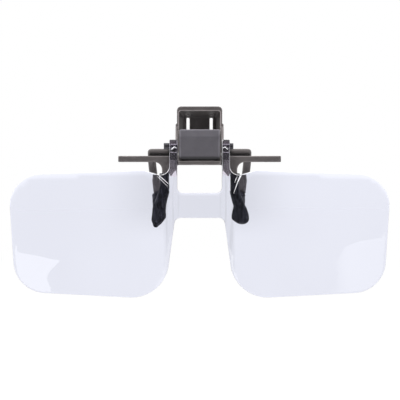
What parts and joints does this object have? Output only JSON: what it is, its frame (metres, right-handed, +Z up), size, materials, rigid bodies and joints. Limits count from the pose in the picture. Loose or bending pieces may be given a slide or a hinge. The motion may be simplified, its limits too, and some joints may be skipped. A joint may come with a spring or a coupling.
{
  "type": "clip-on flip-up magnifier",
  "caption": "Clear magnifier plate with two lenses on a sprung clip that grips a spectacle rim; the plate flips up on a pin and the clip opens with a thumb lever.",
  "frame": {"origin": "grip point: midway between the four rubber pads, on the centre plane, where a spectacle rim is held", "axes": "+X to the wearer's left as seen from the front (viewer's right), +Y towards the wearer, +Z up; the clear plate hangs on the -Y side"},
  "size_m": [0.1116, 0.0196, 0.0565],
  "materials": {
    "clear_acrylic": "polished clear acrylic with a faint lavender tint",
    "grey_plastic": "moulded dark warm grey, fine matt texture",
    "cover_plastic": "moulded dark bluish grey, fine matt texture",
    "black_rubber": "soft black rubber boots with lengthwise creases",
    "pin_steel": "darkened steel pins and caps",
    "spring_steel": "drawn spring wire",
    "leaf_steel": "blackened spring strip with bright cut edges",
    "washer_plastic": "natural nylon"
  },
  "bodies": {
    "clip": {"front_jaw": "grey_plastic", "front_cover": "cover_plastic", "front_sleeve_left": "black_rubber", "front_sleeve_right": "black_rubber", "flip_axle": "pin_steel", "flip_axle_cap": "pin_steel", "ear_washer_left": "washer_plastic", "ear_washer_right": "washer_plastic", "detent_leaf_left": "leaf_steel", "detent_leaf_right": "leaf_steel", "pivot_axle": "pin_steel", "pivot_axle_cap": "pin_steel", "spring_sleeve": "washer_plastic", "torsion_spring": "spring_steel"},
    "magnifier": {"lens_plate": "clear_acrylic"},
    "rear_clip": {"rear_jaw": "grey_plastic", "rear_sleeve_left": "black_rubber", "rear_sleeve_right": "black_rubber"}
  },
  "joints": [
    {"name": "lens_flip", "type": "hinge", "parent": "clip", "child": "magnifier", "pos_m": [0, -0.0075, 0.0208], "axis": [-1, 0, 0], "range_deg": [0, 95]},
    {"name": "clip_open", "type": "hinge", "parent": "clip", "child": "rear_clip", "pos_m": [0, 0, 0.01975], "axis": [1, 0, 0], "range_deg": [0, 20], "stiffness_Nm_per_rad": 0.1, "springref_deg": -34.38, "deforming": ["torsion_spring"]}
  ]
}
